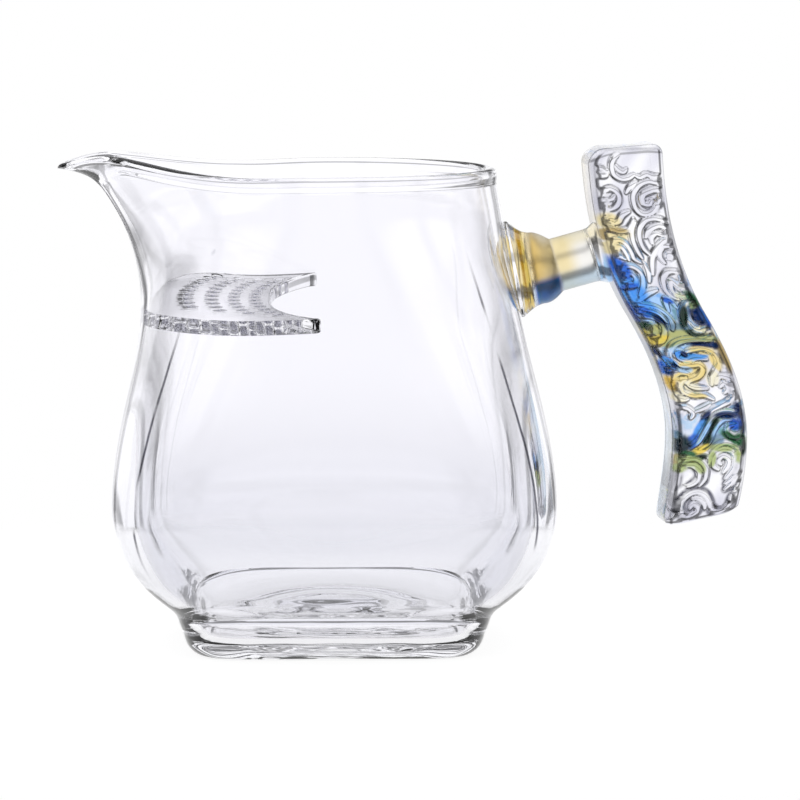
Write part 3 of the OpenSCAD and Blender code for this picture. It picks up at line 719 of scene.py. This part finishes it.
# colours laid in the bar, each a soft oval: offset, drop, half length, half width, slope in degrees, colour
amber, bronze = (0.88, 0.78, 0.48), (0.55, 0.44, 0.22)
gold, rich_gold = (0.88, 0.74, 0.36), (0.78, 0.56, 0.12)
cream, yellow = (0.93, 0.89, 0.72), (0.88, 0.70, 0.16)
olive, leaf = (0.54, 0.56, 0.28), (0.50, 0.58, 0.28)
sky, azure = (0.50, 0.70, 0.95), (0.12, 0.40, 0.88)
blue, navy = (0.03, 0.18, 0.66), (0.006, 0.04, 0.16)
steel, teal = (0.26, 0.38, 0.50), (0.004, 0.035, 0.06)
green, forest = (0.03, 0.17, 0.07), (0.01, 0.05, 0.03)
smoke, shadow = (0.72, 0.72, 0.79), (0.015, 0.015, 0.03)
patches = [
    (-5.2, 14.4, 2.3, 1.7, 0, amber), (-4.8, 16.9, 3.2, 1.3, 0, amber), (-4.5, 16.1, 2.6, 0.3, 0, bronze),
    (-6.7, 19.6, 1.0, 2.3, 90, amber), (-5.2, 18.6, 1.8, 1.0, -15, amber), (-6.9, 17.0, 0.9, 0.4, 90, bronze),
    (-2.2, 30.0, 4.6, 1.6, 0, sky), (-3.0, 26.6, 2.2, 1.3, -50, sky), (0.4, 31.4, 2.4, 2.4, 0, sky),
    (-3.4, 33.0, 3.6, 2.6, 0, sky), (-6.3, 25.8, 2.2, 1.5, 90, azure), (-6.3, 28.6, 1.3, 1.2, 0, azure),
    (-5.0, 27.4, 3.4, 2.3, 65, azure), (-4.4, 30.8, 2.6, 1.8, 30, azure), (-5.6, 23.4, 2.4, 1.8, 60, blue),
    (-5.3, 27.2, 1.9, 0.5, -15, blue),
    (-4.9, 32.0, 1.4, 1.0, 15, blue), (-7.0, 32.2, 2.4, 0.6, 90, blue), (-2.7, 33.9, 1.6, 0.7, 60, navy),
    (0.9, 29.8, 0.9, 0.4, 20, blue), (-6.0, 34.9, 1.6, 0.8, 0, green), (-4.6, 35.6, 2.2, 0.9, -25, olive),
    (0.4, 35.4, 3.0, 1.2, 0, steel), (0.8, 36.7, 5.2, 1.0, 0, olive), (-6.7, 37.0, 1.5, 0.7, 90, yellow),
    (-5.0, 37.6, 2.4, 0.9, -12, yellow), (3.8, 29.2, 0.9, 0.8, 0, cream), (6.1, 29.6, 1.8, 1.1, 60, green),
    (5.3, 33.0, 2.3, 1.7, 90, navy), (6.7, 33.2, 2.0, 0.5, 90, blue), (2.3, 33.0, 2.9, 0.6, -58, forest),
    (2.9, 36.3, 1.9, 0.6, 15, forest), (4.2, 35.5, 1.5, 0.4, -10, cream), (5.4, 30.8, 0.9, 0.4, -20, leaf),
    (-1.8, 37.8, 3.4, 0.7, -15, olive), (6.4, 40.4, 3.8, 0.8, 90, bronze), (4.5, 37.4, 2.0, 0.5, 0, olive),
    (2.8, 38.5, 3.2, 0.45, 2, navy), (5.3, 38.6, 0.9, 0.6, 0, navy), (-1.6, 39.2, 2.4, 0.6, -18, sky),
    (-2.4, 40.4, 0.9, 0.8, 0, azure), (0.4, 40.7, 2.9, 0.5, -3, azure), (-1.5, 40.3, 0.5, 0.5, 0, navy),
    (2.3, 39.6, 2.6, 0.6, 4, gold), (4.1, 41.7, 1.9, 0.8, 90, gold), (-1.6, 42.3, 2.2, 0.5, -5, gold),
    (0.2, 43.5, 2.0, 1.2, -50, gold), (-3.4, 44.6, 2.6, 0.8, -12, gold), (-2.0, 45.6, 1.8, 0.6, -25, gold),
    (-7.0, 39.6, 0.8, 0.7, 0, forest), (-6.2, 40.4, 1.2, 0.4, 60, navy), (-6.3, 43.0, 1.4, 1.4, 0, blue),
    (-4.9, 42.0, 1.4, 0.9, 50, azure), (-4.4, 42.7, 1.2, 0.4, 45, navy), (-2.6, 43.3, 1.4, 0.5, 0, sky),
    (-6.2, 46.2, 1.7, 0.9, 75, rich_gold), (-4.2, 46.8, 1.8, 0.5, 80, gold), (-3.0, 47.0, 2.2, 1.6, 0, cream),
    (-5.5, 48.5, 1.6, 0.9, 0, cream), (2.2, 45.0, 1.8, 1.0, -60, cream), (-1.8, 48.4, 1.8, 0.4, 5, gold),
    (5.8, 51.6, 2.0, 0.8, 80, navy), (-1.2, 52.8, 1.8, 0.4, -50, navy), (3.0, 52.3, 2.4, 0.55, 0, navy),
    (0.0, 54.4, 2.4, 0.6, -55, forest), (-0.9, 57.0, 2.0, 0.6, -60, forest), (4.6, 54.2, 1.3, 1.1, 0, blue),
    (6.2, 54.6, 2.0, 0.5, 90, navy), (-2.5, 55.2, 2.4, 0.8, -58, azure), (-3.8, 57.4, 1.7, 1.1, -45, blue),
    (-1.7, 55.9, 2.8, 0.4, -58, sky), (1.5, 55.0, 2.2, 0.9, -50, sky), (-6.0, 58.0, 1.9, 1.9, 0, teal),
    (-6.8, 56.1, 0.9, 0.6, 0, steel), (1.0, 57.2, 1.6, 0.9, -40, steel), (3.2, 56.4, 1.6, 0.6, 35, green),
    (5.3, 57.2, 1.5, 1.2, 0, green), (6.3, 58.8, 1.6, 0.6, 90, forest), (-2.3, 59.0, 2.2, 0.6, -22, yellow),
    (-2.4, 60.5, 1.5, 0.45, -12, forest), (-5.0, 60.0, 1.8, 0.6, -5, green), (-6.7, 61.2, 1.1, 0.9, 90, bronze),
    (-4.4, 61.2, 2.6, 0.9, 8, leaf), (-6.1, 62.6, 1.2, 0.8, 0, leaf), (-2.2, 62.4, 1.4, 0.8, 50, leaf),
    (2.0, 58.6, 2.8, 0.6, 0, leaf), (5.1, 60.2, 1.5, 0.5, 75, leaf), (0.0, 60.8, 1.6, 0.6, 90, leaf)]
at = points_of(handle.data)
from_middle = at[:, 0] - bar_x(at[:, 2])
across = from_middle * math.cos(bar_turn) + at[:, 1] * math.sin(bar_turn)
depth = at[:, 1] * math.cos(bar_turn) - from_middle * math.sin(bar_turn)
drop = bar_top - at[:, 2]
mist = 0.5 + 0.5 * np.sin(0.55 * across + 1.1 * np.sin(0.31 * drop)) * np.cos(0.42 * drop + 0.6 * across)
tint = blend(np.ones((len(at), 3)), smoke, mist)
for off, centre, length, width, angle, colour in patches:
    c, s = math.cos(math.radians(angle)), math.sin(math.radians(angle))
    u, v = (across - off) * c + (drop - centre) * s, (drop - centre) * c - (across - off) * s
    oval = np.hypot(u / (length + 0.3), v / (width + 0.3))
    tint = blend(tint, colour, 1 - smooth(oval, 0.62, 1.15))
near_front = smooth(-at[:, 1], -4, 5)[:, None]
tint = tint ** (0.5 + 1.8 * near_front)

# painted shade: the feet of the cords are painted dark, more in one place than in another and most at the bar's
# lower end
foot_shade, lower = relief(across, drop, cord_w * 1.35), drop > 60
wide_foot = relief(across[lower], drop[lower], cord_w * 1.9)
foot_shade[lower] += (wide_foot - foot_shade[lower]) * smooth(drop[lower], 61, 67)
foot_shade = np.clip((foot_shade - relief(across, drop)) * 2.2, 0, 1)
uneven = 0.5 + 0.5 * np.sin(1.9 * across + 0.8 * np.sin(0.9 * drop)) * np.cos(1.3 * drop)
uneven = np.minimum(1, 0.5 + 0.55 * (uneven + 0.5 * smooth(drop, 56, 68)))
strong = (tint.max(1) - tint.min(1)) / tint.max(1)
foot_shade = foot_shade * uneven * smooth(-depth, 5, 6.5) * (1 - 0.45 * strong)

# painted shade too along the bar's corners and ends, and over its narrow left side
end = np.minimum(drop, at[:, 2] - bar_low)
left_side = smooth(-across, half_w - 1.2, half_w - 0.2)
edge_shade = np.maximum.reduce([
    bell(np.hypot(across + half_w, depth - half_t + 1.3), 1.2),
    0.8 * bell(np.hypot(across + half_w - 0.9, depth + half_t - 0.9), 0.55),
    0.8 * bell(np.hypot(across - half_w + 0.2, depth + half_t - 2.2), 0.8),
    0.6 * bell(end - 0.35, 0.35),
    left_side * np.maximum(0.4, 0.7 * bell(depth - half_t, 3.0))])
tint = tint * blend(np.ones((len(at), 3)), shadow, np.maximum(foot_shade, edge_shade))

# on the boss and neck: an amber ring at the collar, amber above that fades to cream, blue below the boss
along = weld_x - at[:, 0] - (at[:, 2] - weld_z) * 0.2
up = at[:, 2] - weld_z + 0.27 * along
stem_tint = np.ones((len(at), 3))
for colour, share in [
        ((0.90, 0.76, 0.42), smooth(up, -4.5, -0.5)),
        ((0.72, 0.50, 0.14), smooth(along, 1.0, 4.2)),
        ((0.96, 0.95, 0.90), smooth(-along, 2.0, 5.5) * 0.95),
        ((0.70, 0.58, 0.28), smooth(up, 2.0, 4.2) * smooth(-along, 0.0, 2.0) * 0.8),
        ((0.34, 0.52, 0.68), smooth(-up, 0.8, 3.0) * 0.9),
        ((0.0, 0.03, 0.28), smooth(-up, 0.7, 2.2) * smooth(along, -1.0, 0.2) * (1 - smooth(along, 4.8, 5.6))),
        ((0.40, 0.22, 0.01), smooth(along, 5.4, 5.9)),
        ((1, 1, 1), smooth(along, 6.9, 7.3))]:
    stem_tint = blend(stem_tint, colour, share)
core_dull = 0.3
from_side = from_middle + half_w
in_bar = smooth(from_side, -0.6, 0.8)[:, None]
dull = core_dull * (1 - smooth(from_side, -2.6, -1.0)) * (1 - smooth(along, 4.6, 6.0))
lay_tint(handle.data, stem_tint + (tint - stem_tint) * in_bar, dull)
handle.data.materials.append(
    glass("cast_glass", (0.99, 0.99, 1.0, 1), (0.975, 0.975, 0.985, 1), 130.0, 0.00002))
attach(handle, "root")
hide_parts("handle", "boss")

# Render: many bounces, because a ray through the bar and the far wall crosses a dozen faces of glass.
cycles = scene.cycles
cycles.max_bounces = 32
cycles.transmission_bounces = 32
cycles.glossy_bounces = 8
cycles.diffuse_bounces = 3
cycles.caustics_reflective = False
cycles.caustics_refractive = False
cycles.use_denoising = True
